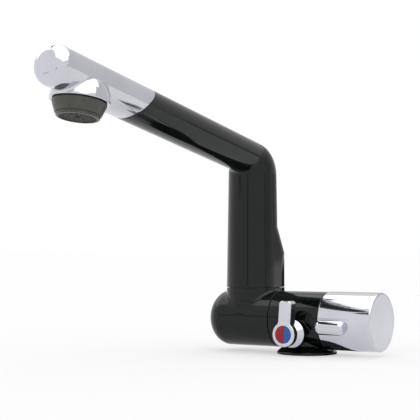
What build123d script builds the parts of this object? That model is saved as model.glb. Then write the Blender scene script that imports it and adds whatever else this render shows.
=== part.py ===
import os
from math import cos, radians, sin

from build123d import *

os.makedirs("parts", exist_ok=True)

# Frame: millimetres, +Z up, origin at the centre of the flange underside.
# The barrel lies along X with the knob at +X, and the spout points to the front, which is -Y.

# Clearances
running_clearance = 0.05
slip_clearance = 0.1
part_gap = 0.3
seam_gap = 0.5

# Barrel that lies across the foot
barrel_r = 20.0
barrel_lift = 3.7
barrel_axis_z = barrel_r + barrel_lift
shell_wall = 2.2
end_wall = 2.0
fold_seam_x = -20.8
knob_seam_x = 18.5
fold_end_x = -61.0
dome_depth = 15.0
seam_chamfer = 0.4
cap_seam_x = -65.5
cap_plug_length = 4.0
cap_plug_r = barrel_r - shell_wall - 1.5

# Foot and deck flange
flange_r = 21.2
flange_rim_height = 1.6
flange_top_z = 6.0
neck_r = 15.0
neck_seat_z = 3.2
column_r = 12.5
foot_height = 12.0
gasket_outer_r = 18.9
gasket_width = 2.6
gasket_height = 1.1

# Connections in the foot
inlet_r = 4.5
inlet_depth = 9.0
inlet_x = 6.6
inlet_y = -3.0
feed_r = 1.5
feed_x = 4.1
feed_y = -4.0
stud_hole_r = 3.4
stud_hole_depth = inlet_depth
stud_hole_y = 7.6
foot_screw_x = 6.45
foot_screw_y = 6.6
foot_screw_r = 1.5
foot_screw_head_r = 2.4
foot_screw_head_height = 2.2
foot_screw_sunk = 0.6
foot_screw_top_z = barrel_axis_z - 7.5
foot_notch_drop = 0.4

# Brass valve body inside the middle housing
core_r = barrel_r - 6
core_right_x = 8.0
core_ring_width = 2.8
nose_r = barrel_r - 9
chamber_r = 4.0

# Spindle that the folding barrel turns on
spindle_r = 7.0
spindle_bore_r = 4.5
spindle_socket_depth = 12.0
spindle_collar_r = 9.5
spindle_collar_width = 4.0
spindle_thread_r = 6.0
spindle_thread_length = 2.8
fold_nut_corner_r = 9.5
fold_nut_width = 2.3
port_r = 3.0
port_groove_r = 5.6
port_groove_width = 10.0
fold_ring_offset = 10.5

# Rubber rings, all of one section
ring_section_r = 0.75
ring_groove_width = 2.2

# Fold core, the brass elbow that carries the spout
hub_r = barrel_r - 7.5
hub_disc_width = 3.0
pipe_r = 9.0
pipe_bore_r = 6.0
pipe_seat_thickness = 2.6
pipe_nose_r = 7.0
pipe_nose_length = 7.0
clip_r = 11.5
clip_groove_r = 8.2
clip_thickness = 0.9
clip_opening = 8.0

# Stub and stem of the spout
stem_x = -44.35
stub_r = 18.8
swivel_seam_z = barrel_axis_z + 22.15
stem_foot_r = 18.75
stem_top_r = 17.45
stem_top_z = swivel_seam_z + 81.15
stem_dome_height = 24.1
stem_bore_r = 15.9
back_swell = 9.2
back_swell_top = 9.9
back_swell_z = swivel_seam_z + 24.65
back_swell_end_z = swivel_seam_z + 43.15
back_lip = 0.4
stub_swell_z = barrel_axis_z + 15.3
stub_swell_foot_y = 19.0
stub_swell_cut = 5.0
bush_height = 16.4
bush_ring_spacing = 6.0

# Arm, at a steady rise towards the outlet
elbow_z = stem_top_z + 11.35
arm_rise = 10.6
arm_r = 12.85
arm_bore_r = 10.65
arm_root_fillet = 2.0
cut_centre = 149.5
cut_slope = 0.89
cut_gap = 0.15
spigot_length = 14.0

# Water pipe through the spout
water_pipe_r = 6.5
water_pipe_bore_r = 5.2
water_pipe_bend_r = 22.0
adapter_height = 14.0
adapter_socket_depth = 6.0

# Outlet
outlet_at = 203.3
nozzle_end_at = 237.5
nozzle_end_fillet = 6.0
skirt_bottom = 14.1
skirt_r = 18.4
skirt_wall = 2.6
aerator_rim_r = 16.85
aerator_rim_step_r = 16.4
aerator_rim_foot_r = 14.1
aerator_rim_top = 14.4
aerator_rim_step = 15.9
aerator_rim_bottom = 22.0
aerator_thread_r = 15.2
aerator_thread_top = 9.6
insert_r = 13.3
insert_top = 10.6
insert_bottom = 24.0
insert_bore_r = 9.5
insert_edge = 0.9
screen_r = 11.4
screen_thickness = 0.6
screen_recess = 0.5
screen_hole_r = 0.55
screen_nub_r = 1.2
seal_r = 13.0
seal_inner_r = 8.2
outlet_elbow_r = 7.8
outlet_elbow_back = 17.0
outlet_elbow_foot = 8.4
outlet_bore_r = 5.0

# Flow knob
knob_r = barrel_r + 0.4
knob_end_x = 58.2
knob_wall = 2.5
knob_edge = 1.2
grip_r = 5.1
grip_y = -1.1 - knob_r
grip_z = barrel_axis_z - 3.4
grip_start_x = 18.9
grip_end_x = 40.2
grip_edge = 1.6
grip_pin_r = 1.2
grip_pin_depth = 1.6
grip_pin_inset = 5.0
insert_disc_x = 39.0
insert_disc_width = 3.0
insert_hub_r = 7.5
insert_hub_x = 22.0
cartridge_r = 9.0
cartridge_left_x = -2.0
cartridge_hex_corner_r = 12.6
cartridge_hex_width = 4.0
cartridge_neck_r = 7.6
cartridge_neck_x = 20.5
flow_spindle_r = 4.0
flow_spindle_start_x = 3.0
knob_screw_r = 1.5
knob_screw_length = 9.0
knob_screw_head_r = 3.4
knob_screw_head_height = 2.4

# Temperature lever on the front of the middle housing
lever_z = barrel_axis_z - 8.4
lever_lean = 4.0
lever_disc_r = 8.5
lever_bar_width = 9.3
lever_bar_reach = 23.1
lever_corner = 2.6
lever_front = barrel_r + 14.6
lever_disc_back = lever_front - 4.8
lever_bar_back = lever_front - 7.8
lever_edge = 0.7
lever_hub_r = 5.6
bezel_r = 9.8
bezel_back = barrel_r + 1.5
bezel_front = bezel_back + 4.5
bezel_slope = 3.3
boss_wall = 1.0
mixing_cartridge_r = 6.0
mixing_collar_r = 7.7
mixing_back = 9.6
mixing_seat = barrel_r - 5.4
mixing_nose = bezel_back + 2.5
mixing_nose_r = 7.2
mixing_port_depth = 1.2
mixing_boss_r = 7.6
mixing_spindle_r = 3.0
mixing_spindle_back = 12.0
lever_screw_r = 1.3
lever_screw_head_r = 2.6
lever_screw_head_height = 1.8
lever_screw_length = 8.0
dot_r = 6.1
dot_thickness = 1.2

# Length of a Bezier handle that follows a quarter ellipse, as a share of the half axis
quarter_weight = 0.5523

lean = radians(lever_lean)
rise = radians(arm_rise)
arm_direction = Vector(0, -cos(rise), sin(rise))
arm_up = Vector(0, sin(rise), cos(rise))
elbow = Vector(stem_x, 0, elbow_z)


def across_barrel(x):
    """Plane square to the barrel axis at x, facing +X."""
    return Plane(origin=(x, 0, barrel_axis_z), x_dir=(0, 1, 0), z_dir=(1, 0, 0))


def across_stem(z):
    """Plane square to the stem axis at height z, facing up."""
    return Plane(origin=(stem_x, 0, z))


def across_arm(distance):
    """Plane square to the arm axis, at a distance from the elbow, facing the outlet."""
    return Plane(origin=elbow + arm_direction * distance, x_dir=(1, 0, 0), z_dir=arm_direction)


def across_outlet(drop):
    """Plane square to the outlet axis, at a drop below the arm axis, facing down."""
    centre = elbow + arm_direction * outlet_at - arm_up * drop
    return Plane(origin=centre, x_dir=(1, 0, 0), z_dir=arm_up * -1)


def across_lever(forward):
    """Plane square to the lever axis in front of the barrel axis, leaning as the lever does."""
    return Plane(origin=(0, -forward, lever_z), x_dir=(cos(lean), 0, -sin(lean)), z_dir=(0, -1, 0))


def above_deck(z, x=0.0, y=0.0):
    """Level plane at height z over a point of the foot, facing up."""
    return Plane(origin=(x, y, z))


def rod(plane, radius, length, mode=Mode.ADD):
    """Round rod that starts on the plane and runs along its normal."""
    with BuildSketch(plane) as section:
        Circle(radius)
    extrude(section.sketch, amount=length, mode=mode)


def rod_between(plane_at, start, end, radius, mode=Mode.ADD):
    """Round rod between two stations of one axis."""
    rod(plane_at(start), radius, end - start, mode)


def ring_groove(plane_at, middle, shaft_radius):
    """Groove for a rubber ring, cut round a shaft."""
    with BuildSketch(plane_at(middle - ring_groove_width / 2)) as section:
        Circle(shaft_radius + 1)
        Circle(groove_floor(shaft_radius), mode=Mode.SUBTRACT)
    extrude(section.sketch, amount=ring_groove_width, mode=Mode.SUBTRACT)


def groove_floor(shaft_radius):
    """Radius of the groove floor, so that the ring lies just under the shaft surface."""
    return shaft_radius - 2 * ring_section_r - running_clearance


def rubber_ring(plane_at, middle, shaft_radius):
    """Rubber ring that lies in the groove of a shaft."""
    centre_r = groove_floor(shaft_radius) + ring_section_r
    station = plane_at(middle)
    ring_plane = Plane(origin=station.origin + station.x_dir * centre_r, x_dir=station.x_dir,
                       z_dir=station.y_dir)
    with BuildSketch(ring_plane) as section:
        Circle(ring_section_r)
    revolve(section.sketch, axis=Axis(station.origin, station.z_dir))


def quarter_ellipse(side_point, corner, end_point):
    """Quarter ellipse between two points, tangent to both sides of the corner between them."""
    first, second, last = Vector(*side_point), Vector(*corner), Vector(*end_point)
    Bezier(first, first + (second - first) * quarter_weight, last + (second - last) * quarter_weight,
           last)


def swell_section(z, radius, reach):
    """Section of the stem with its back moved out by the reach, as wide as the stem."""
    with BuildSketch(across_stem(z)) as section:
        with Locations(Location((0, reach / 2), 90)):
            SlotCenterToCenter(reach, 2 * radius)
    return section.sketch


def swell_between(lower, upper):
    """Length of the stem between two swell sections, each given as height, radius and reach."""
    loft([swell_section(*lower), swell_section(*upper)], ruled=True)


# Deck flange: a low cone with a seat for the neck of the housing
with BuildPart() as base_flange:
    with BuildSketch(Plane.XZ):
        with BuildLine():
            Polyline(
                (column_r + slip_clearance, 0),
                (flange_r, 0),
                (flange_r, flange_rim_height),
                (neck_r + slip_clearance + 0.4, flange_top_z),
                (neck_r + slip_clearance, flange_top_z),
                (neck_r + slip_clearance, neck_seat_z),
                (column_r + slip_clearance, neck_seat_z),
                close=True,
            )
        make_face()
    revolve(axis=Axis.Z)
    rim = base_flange.edges().filter_by(GeomType.CIRCLE).sort_by(SortBy.RADIUS)[-2:]
    fillet(rim.sort_by(Axis.Z)[-1], flange_rim_height / 2)
    with BuildSketch(above_deck(0)):
        Circle(gasket_outer_r + slip_clearance)
        Circle(gasket_outer_r - gasket_width - slip_clearance, mode=Mode.SUBTRACT)
    extrude(amount=gasket_height + slip_clearance, mode=Mode.SUBTRACT)
    rod_between(across_barrel, -flange_r, flange_r, knob_r + part_gap, Mode.SUBTRACT)

# Rubber gasket, flush with the underside of the flange
with BuildPart() as base_gasket:
    with BuildSketch(above_deck(0)):
        Circle(gasket_outer_r)
        Circle(gasket_outer_r - gasket_width, mode=Mode.SUBTRACT)
    extrude(amount=gasket_height)

# Foot column with both water inlets, the stud hole and two screw holes
with BuildPart() as inlet_foot:
    rod(above_deck(0), column_r, foot_height)
    for side in (-1, 1):
        rod(above_deck(0, side * inlet_x, inlet_y), inlet_r, inlet_depth, Mode.SUBTRACT)
        rod(above_deck(0, side * feed_x, feed_y), feed_r, foot_height, Mode.SUBTRACT)
        screw_at = (side * foot_screw_x, foot_screw_y)
        rod(above_deck(0, *screw_at), foot_screw_r, foot_height, Mode.SUBTRACT)
        rod(above_deck(0, *screw_at), foot_screw_head_r + slip_clearance,
            foot_screw_sunk + foot_screw_head_height, Mode.SUBTRACT)
    rod(above_deck(0, 0, stud_hole_y), stud_hole_r, stud_hole_depth, Mode.SUBTRACT)
    notch = Plane(origin=(0, slip_clearance - mixing_back, lever_z - foot_notch_drop),
                  x_dir=(1, 0, 0), z_dir=(0, -1, 0))
    rod(notch, mixing_cartridge_r + slip_clearance, barrel_r - mixing_back, Mode.SUBTRACT)

# Two screws that hold the foot to the valve body
with BuildPart() as foot_screws:
    for side in (-1, 1):
        screw_at = (side * foot_screw_x, foot_screw_y)
        head_top_z = foot_screw_sunk + foot_screw_head_height
        rod(above_deck(foot_screw_sunk, *screw_at), foot_screw_head_r, foot_screw_head_height)
        rod(above_deck(head_top_z, *screw_at), foot_screw_r, foot_screw_top_z - head_top_z)
        with BuildSketch(above_deck(foot_screw_sunk, *screw_at)):
            RegularPolygon(foot_screw_r, 6)
        extrude(amount=foot_screw_head_height / 2, mode=Mode.SUBTRACT)

# Brass valve body: a core along the barrel with a boss to the front
housing_left_x = fold_seam_x + seam_gap / 2
housing_right_x = knob_seam_x - seam_gap / 2
core_left_x = housing_left_x + end_wall
cavity_r = barrel_r - shell_wall
with BuildPart() as valve_body:
    rod_between(across_barrel, core_left_x, core_right_x, core_r)
    rod_between(across_lever, 0, barrel_r, mixing_boss_r)
    with BuildSketch(across_barrel(core_left_x)):
        Circle(cavity_r - slip_clearance)
    extrude(amount=core_right_x - core_left_x, mode=Mode.INTERSECT)
    for ring_x in (core_left_x, core_right_x - core_ring_width):
        rod(across_barrel(ring_x), cavity_r, core_ring_width)
    rod_between(across_barrel, housing_left_x, core_left_x, nose_r)
    rod(above_deck(0), column_r + slip_clearance, foot_height, Mode.SUBTRACT)
    rod_between(across_barrel, housing_left_x, housing_left_x + spindle_socket_depth, spindle_r,
                Mode.SUBTRACT)
    rod_between(across_barrel, housing_left_x, cartridge_left_x, chamber_r, Mode.SUBTRACT)
    rod_between(across_barrel, cartridge_left_x, core_right_x, cartridge_r, Mode.SUBTRACT)
    rod_between(across_lever, mixing_back, barrel_r, mixing_cartridge_r, Mode.SUBTRACT)
    rod_between(across_lever, mixing_seat, barrel_r, mixing_collar_r + slip_clearance, Mode.SUBTRACT)
    for port_x in (-feed_x, 0, feed_x):
        feed_turn = Plane(origin=(port_x, feed_y, lever_z), z_dir=(0, -1, 0))
        rod(feed_turn, feed_r, mixing_back + feed_y, Mode.SUBTRACT)
    for side in (-1, 1):
        rod(above_deck(foot_height, side * feed_x, feed_y), feed_r, lever_z - foot_height,
            Mode.SUBTRACT)
        rod(above_deck(foot_height, side * foot_screw_x, foot_screw_y), foot_screw_r,
            foot_screw_top_z - foot_height, Mode.SUBTRACT)
    rod(above_deck(lever_z, 0, feed_y), feed_r, barrel_axis_z - lever_z, Mode.SUBTRACT)

# Black middle housing: barrel shell, neck down to the flange and boss behind the lever
boss_bore_r = mixing_collar_r + slip_clearance
with BuildPart() as middle_housing:
    rod_between(across_barrel, housing_left_x, housing_right_x, barrel_r)
    seam_edges = middle_housing.edges().filter_by(GeomType.CIRCLE)
    chamfer(seam_edges, seam_chamfer)
    rod(above_deck(neck_seat_z), neck_r, barrel_axis_z - neck_seat_z)
    rod_between(across_lever, 0, bezel_back, boss_bore_r + boss_wall)
    rod_between(across_barrel, core_left_x, housing_right_x, cavity_r, Mode.SUBTRACT)
    rod_between(across_barrel, housing_left_x, core_left_x, nose_r, Mode.SUBTRACT)
    rod(above_deck(neck_seat_z), column_r + slip_clearance, barrel_axis_z - neck_seat_z,
        Mode.SUBTRACT)
    rod_between(across_lever, 0, bezel_back, boss_bore_r, Mode.SUBTRACT)

# Mixing cartridge: fixed body that the bezel is clipped round
with BuildPart() as mixing_cartridge:
    rod_between(across_lever, mixing_back, mixing_seat, mixing_cartridge_r)
    rod_between(across_lever, mixing_seat, bezel_back, mixing_collar_r)
    rod_between(across_lever, bezel_back, mixing_nose, mixing_nose_r)
    rod_between(across_lever, mixing_spindle_back - part_gap, mixing_nose,
                mixing_spindle_r + running_clearance, Mode.SUBTRACT)
    for port_x in (-feed_x, 0, feed_x):
        port = Plane(origin=(port_x, -mixing_back, lever_z), z_dir=(0, -1, 0))
        rod(port, feed_r, mixing_port_depth, Mode.SUBTRACT)

# Chrome bezel behind the lever
with BuildPart() as lever_bezel:
    rod_between(across_lever, bezel_back, bezel_front, bezel_r)
    front_edge = lever_bezel.edges().filter_by(GeomType.CIRCLE).sort_by(Axis.Y)[0]
    chamfer(front_edge, bezel_slope)
    rod_between(across_lever, bezel_back, mixing_nose, mixing_nose_r, Mode.SUBTRACT)
    rod_between(across_lever, mixing_nose, bezel_front, lever_hub_r + part_gap, Mode.SUBTRACT)

# Spindle of the mixing cartridge, with a hole for the lever screw
spindle_front = lever_disc_back + 0.6
with BuildPart() as mixing_spindle:
    rod_between(across_lever, mixing_spindle_back, spindle_front, mixing_spindle_r)
    rod_between(across_lever, spindle_front - lever_screw_length, spindle_front, lever_screw_r,
                Mode.SUBTRACT)

# Chrome temperature lever: a round hub with an upright bar
screw_head_back = lever_front - dot_thickness - part_gap / 2 - lever_screw_head_height
with BuildPart() as mixing_lever:
    with BuildSketch(across_lever(lever_bar_back)):
        with Locations((0, lever_bar_reach / 2)):
            Rectangle(lever_bar_width, lever_bar_reach)
        top_corners = vertices().sort_by(Axis.Y)[-2:]
        fillet(top_corners, lever_corner)
    extrude(amount=lever_front - lever_bar_back)
    rod_between(across_lever, lever_disc_back, lever_front, lever_disc_r)
    front_face = mixing_lever.faces().filter_by(Axis.Y).sort_by(Axis.Y)[0]
    fillet(front_face.edges(), lever_edge)
    rod_between(across_lever, mixing_nose + part_gap, lever_disc_back, lever_hub_r)
    rod_between(across_lever, mixing_nose, spindle_front, mixing_spindle_r, Mode.SUBTRACT)
    rod_between(across_lever, spindle_front, lever_front, lever_screw_r, Mode.SUBTRACT)
    rod_between(across_lever, screw_head_back, lever_front, lever_screw_head_r + slip_clearance,
                Mode.SUBTRACT)
    rod_between(across_lever, lever_front - dot_thickness, lever_front, dot_r + slip_clearance,
                Mode.SUBTRACT)

# Screw under the dots that holds the lever on its spindle
with BuildPart() as lever_screw:
    rod_between(across_lever, screw_head_back, screw_head_back + lever_screw_head_height,
                lever_screw_head_r)
    rod_between(across_lever, screw_head_back - lever_screw_length + 1, screw_head_back,
                lever_screw_r)
    with BuildSketch(across_lever(screw_head_back + lever_screw_head_height)):
        Rectangle(0.7 * lever_screw_head_r, 0.25 * lever_screw_head_r)
        Rectangle(0.25 * lever_screw_head_r, 0.7 * lever_screw_head_r)
    extrude(amount=-lever_screw_head_height / 2, mode=Mode.SUBTRACT)


def half_dot(side):
    """Half of the round hot and cold mark, to one side of its upright middle line."""
    rod_between(across_lever, lever_front - dot_thickness, lever_front - slip_clearance, dot_r)
    with BuildSketch(across_lever(lever_front)) as section:
        with Locations((-side * (dot_r - running_clearance / 2), 0)):
            Rectangle(2 * dot_r, 2 * dot_r + 1)
    extrude(section.sketch, amount=-2 * dot_thickness, mode=Mode.SUBTRACT)


with BuildPart() as hot_dot:
    half_dot(-1)

with BuildPart() as cold_dot:
    half_dot(1)

# Fold spindle: hollow, pressed into the valve body, with a port under the stem
fold_right_x = fold_seam_x - seam_gap / 2
collar_left_x = housing_left_x - spindle_collar_width
hub_right_x = collar_left_x - part_gap
hub_left_x = fold_end_x + spindle_thread_length + 0.7
nut_right_x = hub_left_x - part_gap
spindle_left_x = nut_right_x - spindle_thread_length
with BuildPart() as fold_spindle:
    rod_between(across_barrel, nut_right_x, housing_left_x + spindle_socket_depth, spindle_r)
    rod_between(across_barrel, collar_left_x, housing_left_x, spindle_collar_r)
    rod_between(across_barrel, spindle_left_x, nut_right_x, spindle_thread_r)
    with BuildSketch(across_barrel(stem_x - port_groove_width / 2)):
        Circle(spindle_r + 1)
        Circle(port_groove_r, mode=Mode.SUBTRACT)
    extrude(amount=port_groove_width, mode=Mode.SUBTRACT)
    for ring_x in (stem_x - fold_ring_offset, stem_x + fold_ring_offset):
        ring_groove(across_barrel, ring_x, spindle_r)
    bore_left_x = stem_x - port_groove_width / 2
    rod_between(across_barrel, bore_left_x, housing_left_x + spindle_socket_depth, spindle_bore_r,
                Mode.SUBTRACT)
    rod(across_stem(barrel_axis_z - spindle_r), port_r, 2 * spindle_r, Mode.SUBTRACT)

# Rubber rings on the fold spindle, one each side of the port
with BuildPart() as fold_orings:
    for ring_x in (stem_x - fold_ring_offset, stem_x + fold_ring_offset):
        rubber_ring(across_barrel, ring_x, spindle_r)

# Nut on the end of the fold spindle
with BuildPart() as fold_nut:
    with BuildSketch(across_barrel(nut_right_x - fold_nut_width)):
        RegularPolygon(fold_nut_corner_r, 6)
        Circle(spindle_thread_r, mode=Mode.SUBTRACT)
    extrude(amount=fold_nut_width)

# Friction washer in the seam between the housing and the folding barrel
with BuildPart() as fold_washer:
    with BuildSketch(across_barrel(housing_left_x)):
        Circle(cavity_r - shell_wall)
        Circle(max(nose_r, spindle_collar_r) + part_gap, mode=Mode.SUBTRACT)
    extrude(amount=-(seam_gap - slip_clearance))

# Fold core: a brass hub on the spindle with the swivel pipe above it
stub_top_z = swivel_seam_z - seam_gap / 2
pipe_seat_top_z = stub_top_z
bush_bottom_z = pipe_seat_top_z + part_gap
bush_top_z = bush_bottom_z + bush_height
clip_z = bush_top_z + part_gap
pipe_top_z = clip_z + clip_thickness + 1
nose_top_z = pipe_top_z + pipe_nose_length
swivel_rings_z = [bush_bottom_z + bush_height / 2 + side * bush_ring_spacing / 2 for side in (-1, 1)]
nose_ring_z = pipe_top_z + pipe_nose_length / 2
with BuildPart() as fold_core:
    rod_between(across_barrel, hub_left_x, hub_right_x, hub_r)
    for disc_x in (hub_left_x + 1, hub_right_x - hub_disc_width):
        rod(across_barrel(disc_x), cavity_r, hub_disc_width)
    rod_between(across_stem, barrel_axis_z, pipe_top_z, pipe_r)
    rod_between(across_stem, pipe_top_z, nose_top_z, pipe_nose_r)
    rod_between(across_stem, pipe_seat_top_z - pipe_seat_thickness, pipe_seat_top_z, stem_bore_r)
    for ring_z in swivel_rings_z:
        ring_groove(across_stem, ring_z, pipe_r)
    ring_groove(across_stem, nose_ring_z, pipe_nose_r)
    with BuildSketch(across_stem(clip_z)):
        Circle(pipe_r + 1)
        Circle(clip_groove_r, mode=Mode.SUBTRACT)
    extrude(amount=clip_thickness, mode=Mode.SUBTRACT)
    rod_between(across_stem, barrel_axis_z, pipe_top_z - end_wall, pipe_bore_r, Mode.SUBTRACT)
    rod_between(across_stem, barrel_axis_z, nose_top_z, groove_floor(pipe_nose_r) - 1.5,
                Mode.SUBTRACT)
    rod_between(across_barrel, hub_left_x, hub_right_x, spindle_r + running_clearance, Mode.SUBTRACT)

# Rubber rings on the swivel pipe and on its nose
with BuildPart() as swivel_orings:
    for ring_z in swivel_rings_z:
        rubber_ring(across_stem, ring_z, pipe_r)
    rubber_ring(across_stem, nose_ring_z, pipe_nose_r)

# Spring clip that keeps the spout on the pipe
with BuildPart() as swivel_clip:
    with BuildSketch(across_stem(clip_z)):
        Circle(clip_r)
        Circle(clip_groove_r, mode=Mode.SUBTRACT)
        with Locations((0, clip_r)):
            Rectangle(clip_opening, 2 * clip_r, mode=Mode.SUBTRACT)
    extrude(amount=clip_thickness)

# Black folding barrel with the stub for the stem
swell_back_y = stub_r + back_swell
barrel_section = Plane(origin=(fold_end_x, 0, barrel_axis_z), x_dir=(1, 0, 0), z_dir=(0, -1, 0))
barrel_axis = Axis((fold_end_x, 0, barrel_axis_z), (1, 0, 0))
cap_seam = Plane(origin=(cap_seam_x, 0, barrel_axis_z), x_dir=(0, 1, 0), z_dir=(1, 0, 0))


def barrel_profile(radius, depth, length):
    """Half section of the folding barrel: a cylinder closed by an elliptical dome."""
    with BuildLine() as outline:
        Polyline((-depth, 0), (length, 0), (length, radius), (0, radius))
        quarter_ellipse((0, radius), (-depth, radius), (-depth, 0))
    make_face(outline.line)


with BuildPart() as fold_barrel:
    swell_between((barrel_axis_z, stub_r, back_swell), (stub_top_z, stub_r, back_swell))
    with BuildSketch(Plane.YZ.offset(stem_x)):
        with BuildLine():
            Polyline(
                (stub_swell_foot_y, barrel_axis_z),
                (swell_back_y, stub_swell_z),
                (swell_back_y + stub_swell_cut, stub_swell_z),
                (swell_back_y + stub_swell_cut, barrel_axis_z - stub_swell_cut),
                (stub_swell_foot_y, barrel_axis_z - stub_swell_cut),
                close=True,
            )
        make_face()
    extrude(amount=2 * stub_r, both=True, mode=Mode.SUBTRACT)
    with BuildSketch(barrel_section):
        barrel_profile(barrel_r, dome_depth, fold_right_x - fold_end_x)
    revolve(axis=barrel_axis)
    chamfer(fold_barrel.edges().filter_by(GeomType.CIRCLE).sort_by(Axis.X)[-1], seam_chamfer)
    with BuildSketch(barrel_section):
        barrel_profile(cavity_r, dome_depth - shell_wall, fold_right_x - end_wall - fold_end_x)
    revolve(axis=barrel_axis, mode=Mode.SUBTRACT)
    rod_between(across_stem, barrel_axis_z, stub_top_z, stem_bore_r, Mode.SUBTRACT)
    rod_between(across_barrel, fold_right_x - end_wall, fold_right_x,
                spindle_collar_r + part_gap, Mode.SUBTRACT)
    split(bisect_by=cap_seam, keep=Keep.TOP)

# Domed cap that closes the folding barrel, with a short plug into its bore
with BuildPart() as end_cap:
    with BuildSketch(barrel_section):
        barrel_profile(barrel_r, dome_depth, hub_left_x - fold_end_x)
    revolve(axis=barrel_axis)
    split(bisect_by=cap_seam, keep=Keep.BOTTOM)
    rod_between(across_barrel, cap_seam_x, cap_seam_x + cap_plug_length, cap_plug_r)
    with BuildSketch(barrel_section):
        barrel_profile(cap_plug_r - shell_wall, dome_depth - shell_wall, hub_left_x - fold_end_x)
    revolve(axis=barrel_axis, mode=Mode.SUBTRACT)

# Plastic bush that the stem turns on
with BuildPart() as swivel_bush:
    with BuildSketch(across_stem(bush_bottom_z)):
        Circle(stem_bore_r)
        Circle(pipe_r + running_clearance, mode=Mode.SUBTRACT)
    extrude(amount=bush_height)

# Adapter that joins the swivel pipe to the water pipe
adapter_bottom_z = pipe_top_z + part_gap
adapter_top_z = adapter_bottom_z + adapter_height
with BuildPart() as pipe_adapter:
    rod_between(across_stem, adapter_bottom_z, adapter_top_z, stem_bore_r)
    rod_between(across_stem, adapter_bottom_z, nose_top_z + part_gap,
                pipe_nose_r + running_clearance, Mode.SUBTRACT)
    rod_between(across_stem, adapter_bottom_z, adapter_top_z, water_pipe_bore_r, Mode.SUBTRACT)
    rod_between(across_stem, adapter_top_z - adapter_socket_depth, adapter_top_z, water_pipe_r,
                Mode.SUBTRACT)

# Water pipe up the stem and along the arm
pipe_start = Vector(stem_x, 0, adapter_top_z - adapter_socket_depth)
pipe_end = elbow + arm_direction * (outlet_at - outlet_elbow_back + adapter_socket_depth)
with BuildPart() as water_pipe:
    with BuildLine():
        FilletPolyline(pipe_start, elbow, pipe_end, radius=water_pipe_bend_r)
    with BuildSketch(across_stem(pipe_start.Z)):
        Circle(water_pipe_r)
        Circle(water_pipe_bore_r, mode=Mode.SUBTRACT)
    sweep()

# Black spout shell: stem with a domed top, swell at the back, and the arm
stem_bottom_z = swivel_seam_z + seam_gap / 2
cut_normal = arm_direction + arm_up * cut_slope
cut_origin = elbow + arm_direction * cut_centre
cut_shift = cut_normal.normalized() * (cut_gap / 2)
spout_cut = Plane(origin=cut_origin - cut_shift, z_dir=cut_normal)
nozzle_cut = Plane(origin=cut_origin + cut_shift, z_dir=cut_normal)
cut_reach = cut_centre + (cut_slope + 0.2) * arm_r


def stem_profile(foot_radius, top_radius, dome_height, bottom_z):
    """Half section of the stem: a slight taper under an elliptical dome."""
    dome_top_z = stem_top_z + dome_height
    with BuildLine() as outline:
        Polyline((0, dome_top_z), (0, bottom_z), (foot_radius, bottom_z), (top_radius, stem_top_z))
        quarter_ellipse((top_radius, stem_top_z), (top_radius, dome_top_z), (0, dome_top_z))
    make_face(outline.line)


stem_section = Plane(origin=(stem_x, 0, 0), x_dir=(1, 0, 0), z_dir=(0, -1, 0))
stem_axis = Axis((stem_x, 0, 0), (0, 0, 1))
def stem_r_at(z):
    """Radius of the tapering stem at a height."""
    share = (z - stem_bottom_z) / (stem_top_z - stem_bottom_z)
    return stem_foot_r + share * (stem_top_r - stem_foot_r)


swell_foot = (stem_bottom_z, stem_foot_r, back_swell)
swell_shoulder = (back_swell_z, stem_r_at(back_swell_z), back_swell_top)
swell_end = (back_swell_end_z, stem_r_at(back_swell_end_z) + slip_clearance, back_lip)
with BuildPart() as spout_shell:
    swell_between(swell_foot, swell_shoulder)
    swell_between(swell_shoulder, swell_end)
    with BuildSketch(stem_section):
        stem_profile(stem_foot_r, stem_top_r, stem_dome_height, stem_bottom_z)
    revolve(axis=stem_axis)
    rod_between(across_arm, 0, cut_reach, arm_r)
    arm_root = [edge for edge in spout_shell.edges().filter_by(GeomType.BSPLINE)
                if edge.center().Z > stem_top_z and edge.center().Y < -slip_clearance]
    fillet(arm_root, arm_root_fillet)
    with BuildSketch(stem_section):
        stem_profile(stem_bore_r, stem_bore_r, stem_dome_height - shell_wall, stem_bottom_z)
    revolve(axis=stem_axis, mode=Mode.SUBTRACT)
    rod_between(across_arm, 0, cut_reach, arm_bore_r, Mode.SUBTRACT)
    split(bisect_by=spout_cut, keep=Keep.BOTTOM)

# Chrome nozzle head: round nose, oblique joint to the arm, and a domed skirt over the outlet
with BuildPart() as nozzle_head:
    rod_between(across_arm, cut_centre - cut_slope * arm_r - 2, nozzle_end_at, arm_r)
    fillet(nozzle_head.edges().filter_by(GeomType.CIRCLE).sort_by(Axis.Y)[0], nozzle_end_fillet)
    with Locations(across_outlet(skirt_bottom)):
        Sphere(skirt_r)
    split(bisect_by=across_outlet(skirt_bottom), keep=Keep.BOTTOM)
    split(bisect_by=nozzle_cut, keep=Keep.TOP)
    rod_between(across_arm, cut_centre - spigot_length, cut_reach, arm_bore_r - running_clearance)
    rod_between(across_arm, cut_centre - spigot_length, nozzle_end_at - 2 * skirt_wall,
                arm_bore_r - shell_wall / 2, Mode.SUBTRACT)
    rod_between(across_outlet, outlet_elbow_foot, skirt_bottom, aerator_thread_r, Mode.SUBTRACT)
    rod_between(across_outlet, 0, outlet_elbow_foot, arm_bore_r - shell_wall / 2, Mode.SUBTRACT)

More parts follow.
